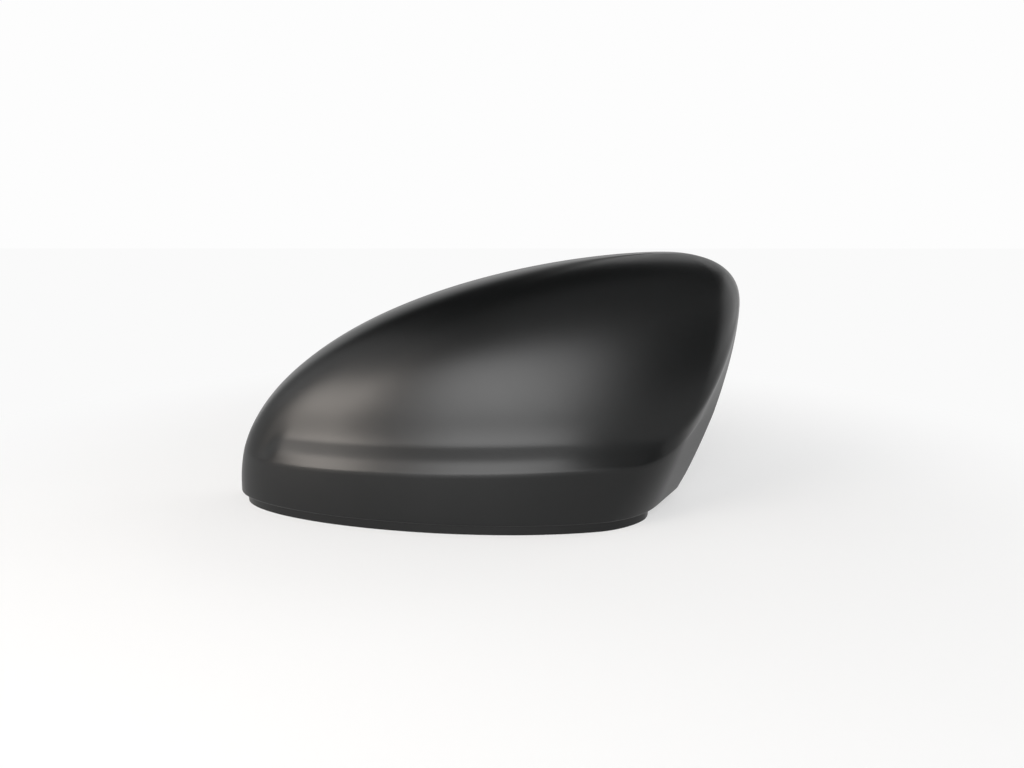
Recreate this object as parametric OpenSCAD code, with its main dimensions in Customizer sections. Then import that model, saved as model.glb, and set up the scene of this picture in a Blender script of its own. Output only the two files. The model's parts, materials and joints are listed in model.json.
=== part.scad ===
// Wing mirror cover for a car door mirror.
// One moulded shell, open at the back and below, standing on its lower lip.
// x runs along the cover, y runs to the back rim, z is up.

/* [Preview] */

// Node to draw

/* [Outline seen from behind] */

// Height of the highest point above the foot of the lip (mm)
cover_height = 114.6; // [95:0.1:135]
// Run from the highest point to the left end (mm)
left_run = 195.8; // [165:0.1:230]
// Run from the highest point to the widest point on the right (mm)
right_run = 34.2; // [29:0.1:41]
// Height at which the right side is widest (mm)
widest_height = 90.5; // [75:0.1:98]
// How far the right side is drawn in at the foot (mm)
foot_draw_in = 24.7; // [15:0.1:30]
// Bow of the right side, 1 is straight
right_bow = 1.7; // [1.2:0.05:2.4]
// Fullness of the top right corner, 2 is round
corner_fullness = 2.4; // [1.8:0.05:2.8]
// Power of the height in the left slope, higher is fuller
left_rise = 2.34; // [2:0.01:2.7]
// Power of the run in the left slope, lower is fuller
left_spread = 0.588; // [0.5:0.002:0.68]

/* [Front] */

// Reach of the round left end at the foot (mm)
left_reach = 32.7; // [27:0.1:39]
// Reach of the round left end at the top (mm)
left_reach_top = 60.0; // [50:0.5:70]
// Share of the front held flat before the right corner
front_hold = 0.375; // [0.3:0.005:0.45]
// Angle of the front at the right corner, foot (deg)
front_angle = 20.9; // [15:0.1:25]
// Angle of the front at the right corner, top (deg)
front_angle_top = 18.0; // [14:0.5:21]
// Height at which the front starts to lean back (mm)
belly_start = 24.3; // [18:0.1:29]
// Power of the height in the front profile, higher is fuller
belly_rise = 2.42; // [2:0.01:2.8]
// Power of the depth in the front profile, lower is fuller
belly_spread = 0.476; // [0.4:0.002:0.55]

/* [Side wall on the right] */

// Depth of the side wall at the foot (mm)
side_depth = 38.6; // [32:0.1:44]
// Depth of the side wall at the top (mm)
side_depth_top = 30.6; // [26:0.1:36]
// Width of the side wall seen from the front, at the foot (mm)
side_width = 23.7; // [20:0.1:28]
// Width of the side wall at the top (mm)
side_width_top = 5.3; // [4:0.1:6.4]
// How fast the side wall narrows above the crease
side_taper = 1.66; // [1.3:0.02:2]
// Set-back of the rounding between skirt and side, at the foot (mm)
corner_round = 17.0; // [12:0.1:19]
// Set-back of the rounding between skirt and side, at the crease (mm)
corner_round_crease = 14.0; // [12:0.1:16]
// Set-back of the sharper rounding above the crease (mm)
corner_edge = 3.5; // [2.5:0.1:4.5]
// Height over which the rounding sharpens above the crease (mm)
corner_fade = 22.0; // [18:0.5:28]
// Straight band in front of the back rim (mm)
rim_band = 10.0; // [7:0.1:13]

/* [Crease and skirt] */

// Height of the crease above the foot, at mid length (mm)
crease_height = 27.9; // [23:0.1:32]
// Rise of the crease towards the right, mm for each mm
crease_slope = 0.033; // [0:0.001:0.05]
// How far the crease turns up at the right corner (mm)
crease_turn = 10.0; // [6:0.5:12]
// Length over which the crease turns up (mm)
crease_turn_run = 26.0; // [24:0.5:32]
// How far the turn reaches past the right corner (mm)
crease_turn_past = 12.0; // [11:0.5:16]
// How far the skirt stands out from the front (mm)
shoulder_step = 5.0; // [3:0.1:6.5]
// Height of the hollow band above the crease (mm)
shoulder_band = 12.0; // [9:0.1:15]
// Share of the front over which the shoulder grows from the left end
shoulder_fade = 0.34; // [0.27:0.01:0.41]
// Draft of the skirt from crease to foot (mm)
skirt_draft = 0.7; // [0.2:0.1:1.5]

/* [Wall and lip] */

// Wall thickness (mm)
wall = 2.6; // [2.1:0.05:3.1]
// Height of the inset lip (mm)
lip_height = 4.9; // [4:0.1:6]
// Step from the skirt in to the lip (mm)
lip_step = 2.75; // [2.2:0.05:3.3]
// Thickness of the lip (mm)
lip_wall = 1.8; // [1.4:0.05:2.2]
// How far the right end of the lip lies inside the side wall (mm)
lip_end_inset = 14.0; // [10:0.5:19]
// Length over which the lip turns to run straight back (mm)
lip_turn = 6.0; // [3:0.5:9]
// Chamfer along the lower edge of the skirt (mm)
edge_chamfer = 0.5; // [0.3:0.05:0.7]

/* [Clips] */

// Width of a clip (mm)
clip_width = 9.0; // [7.5:0.1:11]
// Thickness of a clip (mm)
clip_wall = 2.0; // [1.6:0.05:2.4]
// Height of the catch at the end of a clip (mm)
catch_height = 1.5; // [1.2:0.05:1.8]
// Length of the slope that leads over the catch (mm)
catch_length = 4.5; // [3.6:0.1:5.4]
// Height of the two webs that stiffen a clip (mm)
web_height = 8.0; // [6.5:0.1:9.5]
// Thickness of webs and ribs (mm)
web_wall = 1.3; // [1.1:0.05:1.6]
// Depth of the ribs behind the crease (mm)
rib_depth = 3.0; // [2.4:0.1:3.6]
// How far the clips and pins end inside the back rim (mm)
tip_inset = 5.0; // [4:0.1:6]

/* [Locating pins] */

// Radius of a pin (mm)
pin_radius = 2.4; // [2:0.05:2.9]
// Free length of a pin (mm)
pin_length = 9.0; // [7.5:0.1:11]
// Radius of the post that carries a pin (mm)
post_radius = 4.2; // [3.6:0.05:5]
// Width of the four fins round a post (mm)
fin_reach = 8.0; // [6.5:0.1:9.5]

/* [Hidden] */

// numbers of steps along the parts of one level section
band_steps = 2;
arc_steps = 36;
round_steps = 9;
side_steps = 6;
// numbers of rows in the parts of the height
skirt_steps = 3;
shoulder_steps = 5;
dome_steps = 20;

// shares that keep the side wall, the shoulder and the rounding inside a narrow section
side_share_max = 0.45;
step_share_max = 0.8;
round_share_max = 0.6;
round_share_front = 0.25;
round_share_side = 0.8;
// share of the side wall that the rounding takes at the top
round_share_top = 0.45;

top_x = (left_run - right_run) / 2;
length_all = left_run + right_run;
last_col = 2 * band_steps + arc_steps + round_steps + side_steps;

function clamp01(v) = min(1, max(0, v));
function ease(v) = v * v * (3 - 2 * v);
function mix(a, b, t) = a + (b - a) * t;
function cubic(a, b, c, d, t) =
    pow(1 - t, 3) * a + 3 * pow(1 - t, 2) * t * b + 3 * (1 - t) * t * t * c + pow(t, 3) * d;
function bend(a, b, c, t) = pow(1 - t, 2) * a + 2 * (1 - t) * t * b + t * t * c;

// outline of the back rim at height z
function left_edge(z) =
    top_x - left_run * pow(1 - pow(clamp01(z / cover_height), left_rise), left_spread);
function top_corner(s) = pow(1 - pow(clamp01(s), corner_fullness), 1 / corner_fullness);
function right_edge(z) =
    z < widest_height
    ? top_x + right_run - foot_draw_in * pow(1 - z / widest_height, right_bow)
    : top_x + right_run * top_corner((z - widest_height) / (cover_height - widest_height));

// how full the front still is at height z, from 1 down to 0 at the top
function fullness(z) =
    pow(1 - pow(clamp01((z - belly_start) / (cover_height - belly_start)), belly_rise),
        belly_spread);

// set-back of the rounding between front and side, where hyp is the length of the side wall
function round_at(z, crease, hyp) =
    min(
        round_share_max * hyp,
        z < crease
        ? mix(corner_round, corner_round_crease, ease(clamp01(z / crease)))
        : mix(
            mix(corner_round_crease, corner_edge, ease(clamp01((z - crease) / corner_fade))),
            round_share_top * hyp,
            ease(clamp01((z - crease) / (cover_height - crease)))
        )
    );

// what sets one level section: left, right, corner, handle at the corner,
// reach at the left, recess behind the shoulder, rounding
function section(z, crease) =
    let (
        rise = clamp01((z - crease) / (cover_height - crease)),
        full = fullness(z),
        left = left_edge(z),
        right = right_edge(z),
        width = min(
            side_share_max * (right - left),
            mix(side_width_top, side_width, pow(1 - rise, side_taper))
        ),
        depth = mix(side_depth, side_depth_top, rise) * full,
        band = clamp01((z - crease) / shoulder_band),
        recess = min(shoulder_step * (1 - pow(1 - band, 2)), step_share_max * depth),
        slide = depth > 0 ? recess / depth : 0,
        corner = [right - width * (1 - slide), recess - depth],
        span = corner[0] - left,
        angle = mix(front_angle, front_angle_top, rise),
        handle = front_hold * [span * cos(angle), min(span, full * left_run) * sin(angle)],
        reach = mix(left_reach, left_reach_top, rise) * full
    )
    [left, right, corner, handle, reach, recess, round_at(z, crease, norm([width, depth]))];
function left_of(s) = s[0];
function right_of(s) = s[1];
function corner_of(s) = s[2];
function handle_of(s) = s[3];
function reach_of(s) = s[4];
function recess_of(s) = s[5];
function round_of(s) = s[6];

// point of the front arc at share t, with the recess fading out to the left
function arc_point(s, t) =
    let (left = left_of(s), end = corner_of(s), hold = end - handle_of(s))
    [
        cubic(left, left, hold[0], end[0], t),
        cubic(0, -reach_of(s), hold[1], end[1], t)
            + recess_of(s) * (ease(clamp01(t / shoulder_fade)) - ease(t))
    ];

// point of column c in the level section at height z, measured from the straight rim band
function plan_point(c, z, crease) =
    let (
        s = section(z, crease),
        corner = corner_of(s),
        foot = [right_of(s), 0],
        side = norm(foot - corner),
        handle = norm(handle_of(s)),
        front_cut = handle > 0 ? min(round_share_front, round_of(s) / (3 * handle)) : 0,
        side_cut = side > 0 ? min(round_share_side, round_of(s) / side) : 0,
        in_arc = c - band_steps,
        in_round = in_arc - arc_steps,
        in_side = in_round - round_steps,
        in_band = in_side - side_steps
    )
    in_arc < 0 ? [left_of(s), -rim_band * in_arc / band_steps]
    : in_round <= 0 ? arc_point(s, (1 - front_cut) * in_arc / arc_steps)
    : in_side <= 0
    ? bend(
        arc_point(s, 1 - front_cut),
        corner,
        mix(corner, foot, side_cut),
        in_round / round_steps
    )
    : in_band <= 0 ? mix(corner, foot, mix(side_cut, 1, in_side / side_steps))
    : [right_of(s), rim_band * in_band / band_steps];

// height of the crease at place x, where it turns up towards the right corner
turn_end = corner_of(section(crease_height, crease_height))[0] + crease_turn_past;
function crease_at(x) =
    crease_height + crease_slope * x
        + crease_turn * pow(clamp01((x - turn_end) / crease_turn_run + 1), 2);

// height of the crease for each column
crease_of = [
    for (c = [0:last_col]) crease_at(plan_point(c, crease_height, crease_height)[0])
];

// heights of the rows of column c
function skirt_z(c, s) = mix(lip_height + edge_chamfer, crease_of[c], s);
function shoulder_z(c, s) = crease_of[c] + shoulder_band * s;
function dome_z(c, s) =
    mix(crease_of[c] + shoulder_band, cover_height, s >= 1 ? 1 : sin(90 * s));

// rows from the foot of the skirt to the top, each row a list of points
function lift(c, z) = let (p = plan_point(c, z, crease_of[c])) [p[0], p[1], z];
skin_rows = [
    for (k = [0:skirt_steps]) [for (c = [0:last_col]) lift(c, skirt_z(c, k / skirt_steps))],
    for (k = [1:shoulder_steps])
        [for (c = [0:last_col]) lift(c, shoulder_z(c, k / shoulder_steps))],
    for (k = [1:dome_steps]) [for (c = [0:last_col]) lift(c, dome_z(c, k / dome_steps))]
];
last_row = len(skin_rows) - 1;

function unit(v) = norm(v) > 0 ? v / norm(v) : [0, 0, 1];
function along(r, c) = skin_rows[r][min(last_col, c + 1)] - skin_rows[r][max(0, c - 1)];
function upward(r, c) = skin_rows[min(last_row, r + 1)][c] - skin_rows[max(0, r - 1)][c];
function outward(r, c) = r == last_row ? [0, 0, 1] : unit(cross(along(r, c), upward(r, c)));

// point of row r moved in by an amount while it stays level, set at height z
function drawn_in(r, c, amount, z) =
    let (p = skin_rows[r][c], n = outward(r, c), m = unit([n[0], n[1], 0]) * amount)
    [p[0] - m[0], p[1] - m[1], z];
function draft_at(k) = skirt_draft * (1 - k / skirt_steps);

lip_in = skirt_draft + lip_step;
lip_inside = lip_in + lip_wall;
lip_end_x = right_edge(0) - lip_end_inset;

// point of the lip, which leaves the side wall at the right and turns to run straight back
function lip_point(c, amount, z) =
    let (
        p = drawn_in(0, c, amount, z),
        start = lip_end_x - (amount - lip_in) - lip_turn,
        over = p[0] - start
    )
    over > 0 ? [start + lip_turn * (1 - exp(-over / lip_turn)), p[1], z] : p;
ledge_z = lip_height + wall / 2;
skirt_inside = skirt_draft + wall;

// one ring of the shell: outer points from left to right, then inner points back
outer_side = [
    [for (c = [0:last_col]) lip_point(c, lip_in, 0)],
    [for (c = [0:last_col]) lip_point(c, lip_in, lip_height)],
    [for (c = [0:last_col]) drawn_in(0, c, skirt_draft + edge_chamfer, lip_height)],
    for (k = [0:skirt_steps])
        [for (c = [0:last_col]) drawn_in(k, c, draft_at(k), skin_rows[k][c][2])],
    for (r = [skirt_steps + 1:last_row]) skin_rows[r]
];
inner_side = [
    [for (c = [0:last_col]) lip_point(c, lip_inside, 0)],
    [for (c = [0:last_col]) lip_point(c, lip_inside, lip_height / 2)],
    [for (c = [0:last_col]) lip_point(c, lip_inside, ledge_z)],
    [for (c = [0:last_col]) drawn_in(0, c, skirt_inside, ledge_z + lip_inside - skirt_inside)],
    for (k = [1:skirt_steps - 1])
        [for (c = [0:last_col]) drawn_in(k, c, draft_at(k) + wall, skin_rows[k][c][2])],
    for (r = [skirt_steps:last_row])
        [for (c = [0:last_col]) skin_rows[r][c] - wall * outward(r, c)]
];

// middle of the space the shell takes up, moved to the origin in the end
all_x = [for (row = outer_side) for (p = row) p[0]];
all_y = [for (row = outer_side) for (p = row) p[1]];
middle = [(max(all_x) + min(all_x)) / 2, (max(all_y) + min(all_y)) / 2, 0];

cols = last_col + 1;
ring = 2 * cols;
full_rings = len(outer_side) - 1;
function turned(list) = [for (k = [len(list) - 1:-1:0]) list[k]];
shell_points = [
    for (r = [0:full_rings - 1]) each concat(outer_side[r], turned(inner_side[r])),
    for (c = [0:band_steps]) outer_side[full_rings][c],
    for (c = [0:band_steps]) inner_side[full_rings][c]
];

// index of place k of ring r, where the top ring shares the points of its two halves
function top_place(k) = min(k, band_steps, last_col - k);
function place(r, k) =
    let (j = k % ring)
    r < full_rings ? r * ring + j
    : j < cols ? full_rings * ring + top_place(j)
    : full_rings * ring + band_steps + 1 + top_place(ring - 1 - j);

// two triangles for each field, without those that shrink to a line
function whole(t) = t[0] != t[1] && t[1] != t[2] && t[2] != t[0];
shell_faces = [
    for (r = [0:full_rings - 1])
        for (k = [0:ring - 1])
            let (a = place(r, k), b = place(r, k + 1), c = place(r + 1, k + 1), d = place(r + 1, k))
            each [for (t = [[a, d, c], [a, c, b]]) if (whole(t)) t],
    for (k = [0:last_col - 1])
        let (a = k, b = k + 1, c = ring - 2 - k, d = ring - 1 - k)
        each [[a, b, c], [a, c, d]]
];

// solid that fills the cover out to the middle of its wall, used to trim what joins it
fill_rows = [
    for (r = [0:full_rings]) [for (c = [0:last_col]) (outer_side[r][c] + inner_side[r][c]) / 2]
];
fill_points = [
    for (r = [0:full_rings - 1]) each fill_rows[r],
    for (c = [0:band_steps]) fill_rows[full_rings][c]
];
function fill_place(r, k) =
    let (j = k % cols)
    r < full_rings ? r * cols + j : full_rings * cols + top_place(j);
fill_faces = [
    for (r = [0:full_rings - 1])
        for (k = [0:last_col])
            let (
                a = fill_place(r, k),
                b = fill_place(r, k + 1),
                c = fill_place(r + 1, k + 1),
                d = fill_place(r + 1, k)
            )
            each [for (t = [[a, d, c], [a, c, b]]) if (whole(t)) t],
    for (k = [1:last_col - 1]) [0, k, k + 1]
];

// depth of the outer skin at a place on the front
search_steps = 18;
function arc_share(s, x, low = 0, high = 1, steps = search_steps) =
    let (m = (low + high) / 2)
    steps == 0 ? m
    : arc_point(s, m)[0] < x ? arc_share(s, x, m, high, steps - 1)
    : arc_share(s, x, low, m, steps - 1);
function skin_y(x, z) = let (s = section(z, crease_at(x))) arc_point(s, arc_share(s, x))[1];
function wall_y(x, z) = skin_y(x, z) + wall;

tip_y = rim_band - tip_inset;
// features start well outside the skin and are trimmed to the middle of the wall
far_y = -length_all / 2;

function place_x(share) = length_all * (share - 0.5);
function place_z(share) = mix(crease_height, cover_height, share);

// [share of the length, share of the height above the crease, side of the catch]
clip_places = [[0.27, 0.22, -1], [0.62, 0.2, -1], [0.47, 0.6, 1], [0.76, 0.68, 1]];
pin_places = [[0.37, 0.42], [0.77, 0.38]];
rib_places = [0.2, 0.36, 0.52, 0.68];
// shares of the way from the wall to the end at which webs and fins stop
web_share = 0.55;
fin_share_low = 0.3;
fin_share_top = 0.8;
// lean of the catch face as a share of its height
catch_lean = 0.33;

// upright plate across the length, w wide along x, drawn as [y, z] points
module across(x, w, outline) {
    translate([x - w / 2, 0, 0])
        rotate([90, 0, 90])
            linear_extrude(height = w)
                polygon(outline);
}

// snap clip that points back, with its catch and two webs
module clip(place) {
    x = place_x(place[0]);
    z = place_z(place[1]);
    side = place[2];
    half = side * clip_wall / 2;
    catch_y = tip_y - catch_length;
    web_end = mix(wall_y(x, z), tip_y, web_share);
    across(x, clip_width, [
        [far_y, z - half],
        [tip_y, z - half],
        [tip_y, z + half],
        [catch_y, z + half + side * catch_height],
        [catch_y - catch_height * catch_lean, z + half],
        [far_y, z + half]
    ]);
    for (i = [-1, 1])
        across(x + i * (clip_width - web_wall) / 2, web_wall, [
            [far_y, z],
            [web_end, z],
            [wall_y(x, z), z - half - side * web_height],
            [far_y, z - half - side * web_height]
        ]);
}

// round post with four fins that carries a locating pin
module pin_post(place) {
    x = place_x(place[0]);
    z = place_z(place[1]);
    shoulder_y = tip_y - pin_length;
    fin_top = mix(wall_y(x, z), shoulder_y, fin_share_top);
    fin_low = mix(wall_y(x, z), shoulder_y, fin_share_low);
    translate([x, 0, z]) {
        rotate([-90, 0, 0])
            translate([0, 0, far_y])
                cylinder(h = shoulder_y - far_y, r = post_radius);
        rotate([-90, 0, 0])
            translate([0, 0, shoulder_y - pin_radius])
                cylinder(h = pin_length + pin_radius, r = pin_radius);
    }
    across(x, web_wall, [
        [far_y, z - fin_reach],
        [fin_low, z - fin_reach],
        [fin_top, z],
        [fin_low, z + fin_reach],
        [far_y, z + fin_reach]
    ]);
    translate([0, 0, z - web_wall / 2])
        linear_extrude(height = web_wall)
            polygon([
                [x - fin_reach, far_y],
                [x - fin_reach, fin_low],
                [x, fin_top],
                [x + fin_reach, fin_low],
                [x + fin_reach, far_y]
            ]);
}

// rib that ties the skirt to the front behind the crease
module crease_rib(share) {
    x = place_x(share);
    low = ledge_z + lip_inside;
    mid = crease_at(x);
    high = mid + shoulder_band + rib_depth;
    across(x, web_wall, [
        [far_y, low],
        [wall_y(x, low), low],
        [wall_y(x, mid) + shoulder_step + rib_depth, mid],
        [wall_y(x, high), high],
        [far_y, high]
    ]);
}

black_plastic = [0.1, 0.1, 0.11];

module mirror_cover() {
    color(black_plastic)
        translate(-middle)
            union() {
                polyhedron(points = shell_points, faces = shell_faces, convexity = 6);
                intersection() {
                    polyhedron(points = fill_points, faces = fill_faces, convexity = 4);
                    union() {
                        for (place = clip_places) clip(place);
                        for (place = pin_places) pin_post(place);
                        for (place = rib_places) crease_rib(place);
                    }
                }
            }
}

mirror_cover();
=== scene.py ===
# Wing mirror cover of a car door mirror, moulded in one piece from black textured plastic.
# Lengths are in metres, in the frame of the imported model: x along the cover, front to -y, z up.
import json
import math

import bmesh
import bpy
from mathutils import Matrix, Vector
from mathutils.bvhtree import BVHTree


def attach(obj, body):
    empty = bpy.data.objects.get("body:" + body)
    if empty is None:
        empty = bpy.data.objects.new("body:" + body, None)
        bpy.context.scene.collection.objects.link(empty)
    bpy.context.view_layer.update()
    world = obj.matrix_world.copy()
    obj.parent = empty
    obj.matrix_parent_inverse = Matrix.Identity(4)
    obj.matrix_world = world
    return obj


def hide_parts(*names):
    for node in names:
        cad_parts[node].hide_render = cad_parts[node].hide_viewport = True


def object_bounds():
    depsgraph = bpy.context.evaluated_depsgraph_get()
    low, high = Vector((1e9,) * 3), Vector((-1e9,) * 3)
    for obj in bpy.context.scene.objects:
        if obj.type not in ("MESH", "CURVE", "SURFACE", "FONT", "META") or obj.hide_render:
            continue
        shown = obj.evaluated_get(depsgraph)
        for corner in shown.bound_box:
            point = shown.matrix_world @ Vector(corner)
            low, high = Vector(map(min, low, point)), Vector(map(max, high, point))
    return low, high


MM = 0.001

# distance at which points count as one, and the share of a normal that makes a face upright or level
MERGE = 0.001 * MM
TOUCH = 10 * MERGE
SQUARE = 0.99

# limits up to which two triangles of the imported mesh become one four-sided face
JOIN_FOLD = math.radians(60)
JOIN_SHAPE = math.radians(170)
JOIN_FLOW = 1.5

# wall of the moulding, and how crisp its rim stays when it is smoothed
WALL = 2.6 * MM
LIP_WALL = 1.8 * MM
LIP_HEIGHT = 4.9 * MM
RIM_KEPT = 0.75

# rounded edges of the lip: their width, and the fold above which an edge counts as one
EDGE_WIDTH = 0.5 * MM
EDGE_FOLD = math.radians(34)
# edges higher up keep part of their crispness, by how far they are folded
CREASE_LOW = 15 * MM
CREASE_FOLD = math.radians(9)
CREASE_FULL = math.radians(40)
CREASE_KEPT = 0.7

# crease, and the hollow round of the solid above it
CREASE_HEIGHT = 27.9 * MM
CREASE_RISE = 0.033
BAND_HEIGHT = 12.0 * MM
BAND_DEPTH = 5.0 * MM
# what takes the place of that round: a gentle slope, then a hollow that is steepest at its foot
GENTLE_HEIGHT = 5.0 * MM
GENTLE_SLOPE = 0.28
HOLLOW_HEIGHT = 8.0 * MM
HOLLOW_SLOPE = 0.42
# where it fades in at the left end and out towards the right
BAND_LEFT = -112 * MM
BAND_FADE_IN = 33 * MM
BAND_FADE_FROM = 30 * MM
BAND_FADE_OUT = 36 * MM

# clips, locating pins and ribs on the inner face; their roots start at FAR, in front of the cover
FAR = -0.2
SEAT_STEP = 1.5 * MM
SMALL_EDGE = 0.25 * MM
CLIP_WIDTH = 9.0 * MM
CLIP_WALL = 2.0 * MM
CATCH_HEIGHT = 1.5 * MM
CATCH_LENGTH = 4.5 * MM
CATCH_LEAN = 0.5 * MM
WEB_HEIGHT = 8.0 * MM
WEB_WALL = 1.3 * MM
WEB_SHARE = 0.55
PIN_RADIUS = 2.4 * MM
PIN_LENGTH = 9.0 * MM
POST_RADIUS = 4.2 * MM
FIN_REACH = 8.0 * MM
FIN_LOW = 0.3
FIN_TOP = 0.8
RIB_PLACES = (-0.0691, -0.0324, 0.0042, 0.0408)
RIB_LOW = 8.0 * MM
RIB_MID = 28.0 * MM
RIB_HIGH = 43.0 * MM
RIB_DEPTH = 8.0 * MM
SHARP = math.radians(38)

# finish of the plastic; ABS has an index near 1.54, and less matches the photograph's deep blacks
SATIN_IOR = 1.37
SATIN_ROUGHNESS = 0.365
SATIN_SPREAD = 0.02
CORE_ROUGHNESS = 0.34
CORE_SPREAD = 0.04
NOISE_LOW = 0.3
NOISE_HIGH = 0.7
PATCH_SIZE = 60 * MM
PIGMENT_SIZE = 9 * MM
FLOW_SIZE = 14 * MM
FLOW_SHAPE = (0.2, 1.0, 1.0)
# the real grain is about 0.15 mm; it is drawn coarser, or the picture could not hold it
GRAIN_SIZE = 0.45 * MM
GRAIN_DEPTH = 0.012 * MM

# lamps: name, direction and height seen from the cover in degrees, width and height in metres,
# power in watts and colour
LAMP_AIM = Vector((0, 0, 0.06))
LAMP_DISTANCE = 1.0
LAMPS = (
    ("front", -173, 12, 0.72, 0.55, 11.6, "#ffffff"),
    ("left", -125, 11, 0.45, 0.35, 7.6, "#fff6ed"),
    ("right", 84, 12, 1.0, 1.0, 7.0, "#ffffff"),
    ("back", 36, 45, 0.56, 0.15, 0.7, "#ffffff"),
    ("far_left", -109, 30, 0.95, 0.71, 3.2, "#ffffff"),
    ("left_back", -65, 12, 1.0, 0.8, 1.6, "#ffffff"),
    ("top", 160, 55, 1.0, 1.0, 1.2, "#ffffff"),
)
ROOM_LEVEL = 0.5

# white table and wall
TABLE_SIZE = 3.0
TABLE_EDGE = 2.2
WALL_FOOT = -0.2
WALL_HEIGHT = 2.5
# share of the table's white that needs no lamp: small near the cover, so that its shadow shows; the smaller
# glow there also paints the table darker all round the cover, a painted shade beside the lamps' real shadow
SHADE_FROM = 0.12
SHADE_TO = 0.36
SHADE_SHARE = 0.45

# camera, set so that the cover's outline falls on the photograph's
CAMERA_AIM = Vector((12.6, -2.1, 59.9)) * MM
CAMERA_DISTANCE = 333.1 * MM
CAMERA_PITCH = math.radians(13)
CAMERA_TURN = math.radians(-0.115)
SENSOR = 36.0
FOCAL_PIXELS = 773
IMAGE_WIDTH = 1024
NEAREST = 0.01


def linear(colour):
    """sRGB hex colour as linear red, green, blue and alpha."""
    parts = [int(colour[i : i + 2], 16) / 255 for i in (1, 3, 5)]
    return [c / 12.92 if c <= 0.04045 else ((c + 0.055) / 1.055) ** 2.4 for c in parts] + [1.0]


def add(tree, kind, inputs=None, **settings):
    """Node of that kind with its settings, its input values and its incoming links."""
    node = tree.nodes.new(kind)
    for name, value in settings.items():
        setattr(node, name, value)
    for name, value in (inputs or {}).items():
        if isinstance(value, bpy.types.NodeSocket):
            tree.links.new(value, node.inputs[name])
        else:
            node.inputs[name].default_value = value
    return node


def closes_wall(face, rim_y):
    """True for a face of the back rim or of the underside of the lip."""
    at_rim = face.normal.y > SQUARE and min(v.co.y for v in face.verts) > rim_y - TOUCH
    below = face.normal.z < -SQUARE and max(v.co.z for v in face.verts) < TOUCH
    return at_rim or below


def outer_skin(node):
    """The node's outer face alone, as four-sided faces, from the back rim to the foot of the lip."""
    bm = bmesh.new()
    bm.from_mesh(node.data)
    bmesh.ops.remove_doubles(bm, verts=bm.verts, dist=MERGE)
    bm.normal_update()
    rim_y = max(v.co.y for v in bm.verts)
    front = [min(bm.faces, key=lambda face: face.calc_center_median().y)]
    skin = set(front)
    while front:
        for edge in front.pop().edges:
            for face in edge.link_faces:
                if face not in skin and not closes_wall(face, rim_y):
                    skin.add(face)
                    front.append(face)
    rest = [face for face in bm.faces if face not in skin]
    bmesh.ops.delete(bm, geom=rest, context="FACES")
    bmesh.ops.join_triangles(
        bm,
        faces=bm.faces,
        angle_face_threshold=JOIN_FOLD,
        angle_shape_threshold=JOIN_SHAPE,
        topology_influence=JOIN_FLOW,
    )
    bm.normal_update()
    return bm


def ease(share):
    """The share from 0 to 1, with a soft start and a soft end."""
    share = min(1, max(0, share))
    return share * share * (3 - 2 * share)


def shape_band(bm):
    """Give the band above the crease the profile that catches the light in the photograph."""
    hollow_depth = BAND_DEPTH - GENTLE_SLOPE * GENTLE_HEIGHT
    curve = (hollow_depth - HOLLOW_SLOPE * HOLLOW_HEIGHT) / HOLLOW_HEIGHT**2
    for v in bm.verts:
        height = v.co.z - CREASE_HEIGHT - CREASE_RISE * v.co.x
        below_top = GENTLE_HEIGHT + HOLLOW_HEIGHT - height
        if height <= 0 or below_top <= 0 or v.co.y > 0:
            continue
        from_left = max(0, v.co.x - BAND_LEFT) / BAND_FADE_IN
        weight = ease(math.sqrt(from_left)) * (1 - ease((v.co.x - BAND_FADE_FROM) / BAND_FADE_OUT))
        solid = BAND_DEPTH * max(0, 1 - height / BAND_HEIGHT) ** 2
        if height < GENTLE_HEIGHT:
            shaped = BAND_DEPTH - GENTLE_SLOPE * height
        else:
            shaped = HOLLOW_SLOPE * below_top + curve * below_top**2
        v.co.y -= weight * (shaped - solid)


def folded(edge, least):
    """True for an inner edge whose two faces are folded by more than that angle."""
    return len(edge.link_faces) == 2 and edge.calc_face_angle() > least


def round_edges(bm, edges, width):
    """Small radius of that width along the edges."""
    bmesh.ops.bevel(
        bm,
        geom=edges,
        offset=width,
        offset_type="OFFSET",
        affect="EDGES",
        segments=2,
        profile=0.5,
        material=-1,
        clamp_overlap=True,
    )


def placed(name, bm):
    """The mesh as an object in the scene."""
    mesh = bpy.data.meshes.new(name)
    bm.to_mesh(mesh)
    bm.free()
    piece = bpy.data.objects.new(name, mesh)
    bpy.context.scene.collection.objects.link(piece)
    return piece


def shell():
    """The moulded shell without what stands on its inner face."""
    bm = outer_skin(frame["nodes"]["mirror_cover"])
    shape_band(bm)
    keep = bm.edges.layers.float.new("crease_edge")
    low = []
    for edge in bm.edges:
        if max(v.co.z for v in edge.verts) < CREASE_LOW:
            if folded(edge, EDGE_FOLD):
                low.append(edge)
        elif folded(edge, CREASE_FOLD):
            edge[keep] = min(1, edge.calc_face_angle() / CREASE_FULL) * CREASE_KEPT
    round_edges(bm, low, EDGE_WIDTH)
    cover = placed("cover", bm)
    lip = cover.vertex_groups.new(name="wall_share")
    for v in cover.data.vertices:
        lip.add([v.index], LIP_WALL / WALL if v.co.z < LIP_HEIGHT - MERGE else 1, "REPLACE")
    wall = cover.modifiers.new("wall", "SOLIDIFY")
    wall.thickness = WALL
    wall.vertex_group = "wall_share"
    wall.edge_crease_outer = RIM_KEPT
    wall.edge_crease_inner = RIM_KEPT
    wall.offset = -1
    wall.use_even_offset = True
    wall.material_offset = 1
    wall.material_offset_rim = 1
    smooth = cover.modifiers.new("smooth", "SUBSURF")
    smooth.levels = 2
    smooth.render_levels = 2
    return cover


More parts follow.
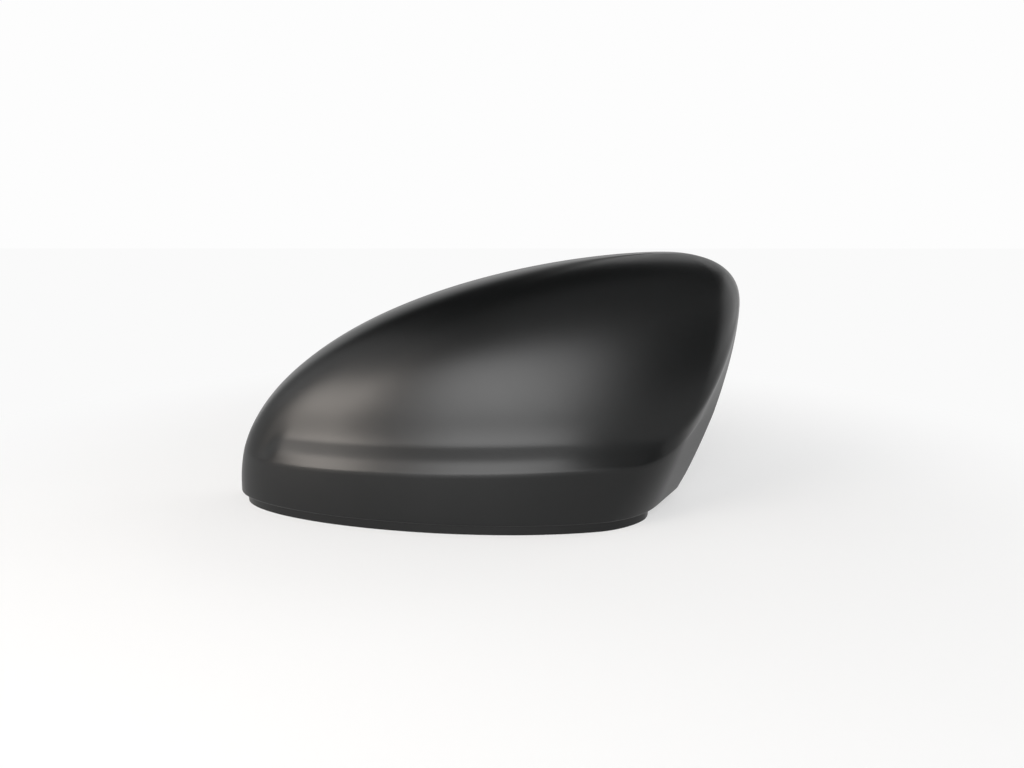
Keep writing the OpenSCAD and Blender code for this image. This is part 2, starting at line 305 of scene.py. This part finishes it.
class Inside:
    """Finds the wall of the shell for what stands on its inner face."""

    def __init__(self, cover):
        self.tree = BVHTree.FromObject(cover, bpy.context.evaluated_depsgraph_get())
        self.rim_y = cad_box[1][1]

    def inner_y(self, x, z):
        return self.tree.ray_cast(Vector((x, self.rim_y + MM, z)), Vector((0, -1, 0)))[0].y

    def middle_y(self, x, z):
        outer = self.tree.ray_cast(Vector((x, FAR, z)), Vector((0, 1, 0)))[0].y
        return (outer + self.inner_y(x, z)) / 2


def prism(outline, start, along):
    """Solid with that outline, drawn through the vector along."""
    bm = bmesh.new()
    face = bm.faces.new([bm.verts.new(start + Vector(p)) for p in outline])
    grown = bmesh.ops.extrude_face_region(bm, geom=[face], use_keep_orig=True)["geom"]
    bmesh.ops.translate(bm, verts=[v for v in grown if isinstance(v, bmesh.types.BMVert)], vec=along)
    bmesh.ops.recalc_face_normals(bm, faces=bm.faces)
    return bm


def soften(bm):
    """Small radii on the free edges, which end mills and sparked moulds always leave."""
    free = [e for e in bm.edges if min(v.co.y for v in e.verts) > FAR + MM and e.calc_face_angle() > SHARP]
    round_edges(bm, free, SMALL_EDGE)


def cut_along(bm, axis):
    """Level cuts along the axis, so that the root can follow the wall."""
    normal = Vector((0, 0, 0))
    normal[axis] = 1
    low = min(v.co[axis] for v in bm.verts)
    high = max(v.co[axis] for v in bm.verts)
    for k in range(1, math.ceil((high - low) / SEAT_STEP)):
        at = normal * (low + k * SEAT_STEP)
        geom = bm.verts[:] + bm.edges[:] + bm.faces[:]
        bmesh.ops.bisect_plane(bm, geom=geom, dist=MERGE, plane_co=at, plane_no=normal)


def seated(bm, inside, axes):
    """Finish a solid whose root lies at FAR: round its free edges and set the root into the wall."""
    soften(bm)
    for axis in axes:
        cut_along(bm, axis)
    for v in bm.verts:
        if v.co.y < FAR + MERGE:
            v.co.y = inside.middle_y(v.co.x, v.co.z)
    for face in bm.faces:
        face.material_index = 1
    return bm


def clip(inside, catch, side):
    """Clip that hooks over an edge of the housing, with two webs that stiffen it."""
    tip_y = catch.y + CATCH_LENGTH
    half = side * CLIP_WALL / 2
    z = catch.z - half
    tongue = [
        (0, FAR, z - half),
        (0, tip_y, z - half),
        (0, tip_y, z + half),
        (0, catch.y, z + half + side * CATCH_HEIGHT),
        (0, catch.y - CATCH_LEAN, z + half),
        (0, FAR, z + half),
    ]
    start = Vector((catch.x - CLIP_WIDTH / 2, 0, 0))
    made = [seated(prism(tongue, start, Vector((CLIP_WIDTH, 0, 0))), inside, (0,))]
    low = z - half - side * WEB_HEIGHT
    reach = CLIP_WIDTH / 2 - SMALL_EDGE
    for x in (catch.x - reach, catch.x + reach - WEB_WALL):
        wall_y = inside.inner_y(x, z)
        web = [
            (0, FAR, z),
            (0, wall_y + (tip_y - wall_y) * WEB_SHARE, z),
            (0, inside.inner_y(x, low), low),
            (0, FAR, low),
        ]
        made.append(seated(prism(web, Vector((x, 0, 0)), Vector((WEB_WALL, 0, 0))), inside, (2,)))
    return made


def rod(x, z, radius, low, high):
    """Round bar along y between the two depths."""
    bm = bmesh.new()
    bmesh.ops.create_cone(
        bm, cap_ends=True, segments=40, radius1=radius, radius2=radius, depth=high - low,
        matrix=Matrix.Translation((x, (low + high) / 2, z)) @ Matrix.Rotation(-math.pi / 2, 4, "X"),
    )
    return bm


def pin_post(inside, middle):
    """Locating pin on a round post that four fins hold upright."""
    x, z = middle.x, middle.z
    shoulder = middle.y - PIN_LENGTH / 2
    wall_y = inside.inner_y(x, z)
    fin_top = wall_y + (shoulder - wall_y) * FIN_TOP
    fin_low = wall_y + (shoulder - wall_y) * FIN_LOW
    upright = [
        (0, FAR, z - FIN_REACH),
        (0, fin_low, z - FIN_REACH),
        (0, fin_top, z),
        (0, fin_low, z + FIN_REACH),
        (0, FAR, z + FIN_REACH),
    ]
    level = [
        (x - FIN_REACH, FAR, 0),
        (x - FIN_REACH, fin_low, 0),
        (x, fin_top, 0),
        (x + FIN_REACH, fin_low, 0),
        (x + FIN_REACH, FAR, 0),
    ]
    across = Vector((x - WEB_WALL / 2, 0, 0))
    above = Vector((0, 0, z - WEB_WALL / 2))
    return [
        seated(rod(x, z, POST_RADIUS, FAR, shoulder), inside, ()),
        seated(rod(x, z, PIN_RADIUS, shoulder - PIN_RADIUS, shoulder + PIN_LENGTH), inside, ()),
        seated(prism(upright, across, Vector((WEB_WALL, 0, 0))), inside, (2,)),
        seated(prism(level, above, Vector((0, 0, WEB_WALL))), inside, (0,)),
    ]


def crease_rib(inside, x):
    """Rib that ties the skirt to the front behind the crease."""
    rib = [
        (0, FAR, RIB_LOW),
        (0, inside.inner_y(x, RIB_LOW), RIB_LOW),
        (0, inside.inner_y(x, RIB_MID) + RIB_DEPTH, RIB_MID),
        (0, inside.inner_y(x, RIB_HIGH), RIB_HIGH),
        (0, FAR, RIB_HIGH),
    ]
    across = Vector((x - WEB_WALL / 2, 0, 0))
    return [seated(prism(rib, across, Vector((WEB_WALL, 0, 0))), inside, (2,))]


def unite(whole, part):
    """Join the part to the whole, as one closed surface with the whole's modifiers applied."""
    union = whole.modifiers.new("union", "BOOLEAN")
    union.operation = "UNION"
    union.solver = "EXACT"
    union.material_mode = "INDEX"
    union.object = part
    finished = whole.evaluated_get(bpy.context.evaluated_depsgraph_get())
    mesh = bpy.data.meshes.new_from_object(finished)
    whole.modifiers.clear()
    whole.data = mesh
    bpy.data.objects.remove(part)


def add_inner_features(cover):
    """Join clips, pins and ribs to the shell as the one moulding that they are."""
    inside = Inside(cover)
    at = {mount["name"]: Vector(mount["pos_m"]) for mount in frame["record"]["mounts"]}
    made = []
    for name, side in (
        ("left_lower_clip", -1), ("right_lower_clip", -1), ("left_upper_clip", 1), ("right_upper_clip", 1)
    ):
        made += clip(inside, at[name], side)
    for name in ("left_pin", "right_pin"):
        made += pin_post(inside, at[name])
    for x in RIB_PLACES:
        made += crease_rib(inside, x)
    features = placed("features", made[0])
    for bm in made[1:]:
        unite(features, placed("feature", bm))
    unite(cover, features)
    for v in cover.data.vertices:
        v.co.y = min(v.co.y, cad_box[1][1])
    cover.data.shade_smooth()
    cover.data.set_sharp_from_angle(angle=SHARP)


def grain(tree, coordinates, size, depth):
    """Normal of a moulded grain: flat little cells of that mean size, with soft walls between them."""
    cells = add(
        tree, "ShaderNodeTexVoronoi", {"Vector": coordinates, "Scale": 1 / size, "Randomness": 1.0},
        feature="SMOOTH_F1", voronoi_dimensions="3D",
    )
    bump = add(tree, "ShaderNodeBump", {"Height": cells.outputs["Distance"], "Distance": depth})
    return bump.outputs["Normal"]


def vary(tree, gloss_by, roughness, spread, colour_by, dark, light):
    """Set the gloss of the plastic, and let one noise vary its roughness a little and one its colour."""
    shader = tree.nodes["Principled BSDF"]
    shader.inputs["IOR"].default_value = SATIN_IOR
    gloss = add(
        tree, "ShaderNodeMapRange",
        {"Value": gloss_by.outputs["Fac"], "From Min": NOISE_LOW, "From Max": NOISE_HIGH,
         "To Min": roughness - spread, "To Max": roughness + spread},
    )
    colour = add(
        tree, "ShaderNodeMix",
        {"Factor": colour_by.outputs["Fac"], "A": linear(dark), "B": linear(light)},
        data_type="RGBA",
    )
    tree.links.new(gloss.outputs["Result"], shader.inputs["Roughness"])
    tree.links.new(colour.outputs["Result"], shader.inputs["Base Color"])


def textured_plastic():
    """ABS from a spark-eroded mould: deep black, and a broad soft sheen that its fine grain gives."""
    material = bpy.data.materials.new("moulded_abs_grained")
    material.use_nodes = True
    tree = material.node_tree
    place = add(tree, "ShaderNodeTexCoord").outputs["Object"]
    # handling and the mould leave broad patches a little more or less glossy
    patches = add(tree, "ShaderNodeTexNoise", {"Vector": place, "Scale": 1 / PATCH_SIZE, "Detail": 3.0})
    # black pigment is never quite even in the plastic
    pigment = add(tree, "ShaderNodeTexNoise", {"Vector": place, "Scale": 1 / PIGMENT_SIZE, "Detail": 2.0})
    vary(tree, patches, SATIN_ROUGHNESS, SATIN_SPREAD, pigment, "#060707", "#090a0b")
    shader = tree.nodes["Principled BSDF"]
    tree.links.new(grain(tree, place, GRAIN_SIZE, GRAIN_DEPTH), shader.inputs["Normal"])
    return material


def plain_plastic():
    """The same ABS from a smooth core: a little glossier on the inner face, with fine flow marks."""
    material = bpy.data.materials.new("moulded_abs_plain")
    material.use_nodes = True
    tree = material.node_tree
    place = add(tree, "ShaderNodeTexCoord").outputs["Object"]
    # the plastic flows along the cover and leaves long faint streaks
    stretched = add(tree, "ShaderNodeMapping", {"Vector": place, "Scale": FLOW_SHAPE})
    streaks = add(
        tree, "ShaderNodeTexNoise",
        {"Vector": stretched.outputs["Vector"], "Scale": 1 / FLOW_SIZE, "Detail": 3.0},
    )
    vary(tree, streaks, CORE_ROUGHNESS, CORE_SPREAD, streaks, "#070808", "#0b0c0d")
    return material


def place_camera():
    """Camera where the photograph was taken, as far as its picture tells."""
    data = bpy.data.cameras.new("camera")
    data.sensor_width = SENSOR
    data.lens = FOCAL_PIXELS / IMAGE_WIDTH * SENSOR
    data.clip_start = NEAREST
    camera = bpy.data.objects.new("camera", data)
    bpy.context.scene.collection.objects.link(camera)
    ahead = Vector((
        math.sin(CAMERA_TURN) * math.cos(CAMERA_PITCH),
        math.cos(CAMERA_TURN) * math.cos(CAMERA_PITCH),
        -math.sin(CAMERA_PITCH),
    ))
    camera.location = CAMERA_AIM - ahead * CAMERA_DISTANCE
    camera.rotation_euler = ahead.to_track_quat("-Z", "Y").to_euler()
    bpy.context.scene.camera = camera


def white_surface(name, colour, near_share):
    """White that the camera and reflections see near full white, with the cover's shadow kept in it and,
    where near_share is below 1, painted shade round the cover.
    """
    material = bpy.data.materials.new(name)
    material.use_nodes = True
    tree = material.node_tree
    tree.nodes.clear()
    path = add(tree, "ShaderNodeLightPath").outputs
    place = add(tree, "ShaderNodeTexCoord").outputs["Object"]
    distance = add(tree, "ShaderNodeVectorMath", {0: place}, operation="LENGTH").outputs["Value"]
    # less glow near the cover: painted shade that darkens the table round it, also where no lamp shadow
    # falls
    share = add(
        tree, "ShaderNodeMapRange",
        {"Value": distance, "From Min": SHADE_FROM, "From Max": SHADE_TO,
         "To Min": near_share, "To Max": 1.0},
        interpolation_type="SMOOTHSTEP",
    )
    seen = path["Is Camera Ray"]
    for ray in ("Is Glossy Ray", "Is Transmission Ray"):
        seen = add(tree, "ShaderNodeMath", {0: seen, 1: path[ray]}, operation="MAXIMUM").outputs[0]
    weight = add(tree, "ShaderNodeMath", {0: seen, 1: share.outputs["Result"]}, operation="MULTIPLY")
    lit = add(tree, "ShaderNodeBsdfDiffuse", {"Color": linear(colour)})
    bright = add(tree, "ShaderNodeEmission", {"Color": linear(colour), "Strength": 1.0})
    both = add(tree, "ShaderNodeMixShader", {0: weight.outputs[0], 1: lit.outputs[0], 2: bright.outputs[0]})
    add(tree, "ShaderNodeOutputMaterial", {"Surface": both.outputs[0]})
    return material


def staged(name, corner_a, corner_b, material):
    """Flat rectangle between two corners, level or upright, that is no part of the object."""
    bm = bmesh.new()
    bmesh.ops.create_grid(bm, x_segments=1, y_segments=1, size=0.5)
    low, high = Vector(corner_a), Vector(corner_b)
    if abs(high.z - low.z) > abs(high.y - low.y):
        bmesh.ops.rotate(bm, verts=bm.verts, matrix=Matrix.Rotation(math.pi / 2, 3, "X"))
    for v in bm.verts:
        v.co = Vector([low[i] + (high[i] - low[i]) * (v.co[i] + 0.5) for i in range(3)])
    piece = placed(name, bm)
    piece.data.materials.append(material)


def room():
    """White table and wall, with the lamps that the plastic reflects."""
    table = white_surface("white_table", "#fafafa", SHADE_SHARE)
    wall = white_surface("white_wall", "#fdfdfd", 1.0)
    staged("table", (-TABLE_SIZE, -TABLE_SIZE, 0), (TABLE_SIZE, TABLE_EDGE, 0), table)
    staged("wall", (-TABLE_SIZE, TABLE_EDGE, WALL_FOOT), (TABLE_SIZE, TABLE_EDGE, WALL_HEIGHT), wall)
    world = bpy.data.worlds.new("room")
    bpy.context.scene.world = world
    world.use_nodes = True
    world.node_tree.nodes["Background"].inputs["Strength"].default_value = ROOM_LEVEL
    for name, turn, height, width, tall, power, colour in LAMPS:
        turn, height = math.radians(turn), math.radians(height)
        away = Vector((
            math.sin(turn) * math.cos(height), math.cos(turn) * math.cos(height), math.sin(height)
        ))
        data = bpy.data.lights.new(name, "AREA")
        data.shape = "RECTANGLE"
        data.size = width
        data.size_y = tall
        data.energy = power
        data.color = linear(colour)[:3]
        light = bpy.data.objects.new(name, data)
        bpy.context.scene.collection.objects.link(light)
        light.location = LAMP_AIM + away * LAMP_DISTANCE
        light.rotation_euler = (-away).to_track_quat("-Z", "Y").to_euler()


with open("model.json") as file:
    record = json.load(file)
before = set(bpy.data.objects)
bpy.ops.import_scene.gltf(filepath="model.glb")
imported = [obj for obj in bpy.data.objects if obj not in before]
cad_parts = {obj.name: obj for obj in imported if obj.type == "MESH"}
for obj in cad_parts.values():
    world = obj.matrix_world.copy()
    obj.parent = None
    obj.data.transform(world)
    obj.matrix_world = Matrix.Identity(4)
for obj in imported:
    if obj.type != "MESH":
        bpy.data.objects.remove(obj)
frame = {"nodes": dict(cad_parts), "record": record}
cad_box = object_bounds()
place_camera()
cover = shell()
for finish in (textured_plastic(), plain_plastic()):
    cover.data.materials.append(finish)
add_inner_features(cover)
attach(cover, "root")
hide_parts("mirror_cover")
room()
bpy.context.scene.view_settings.view_transform = "Standard"
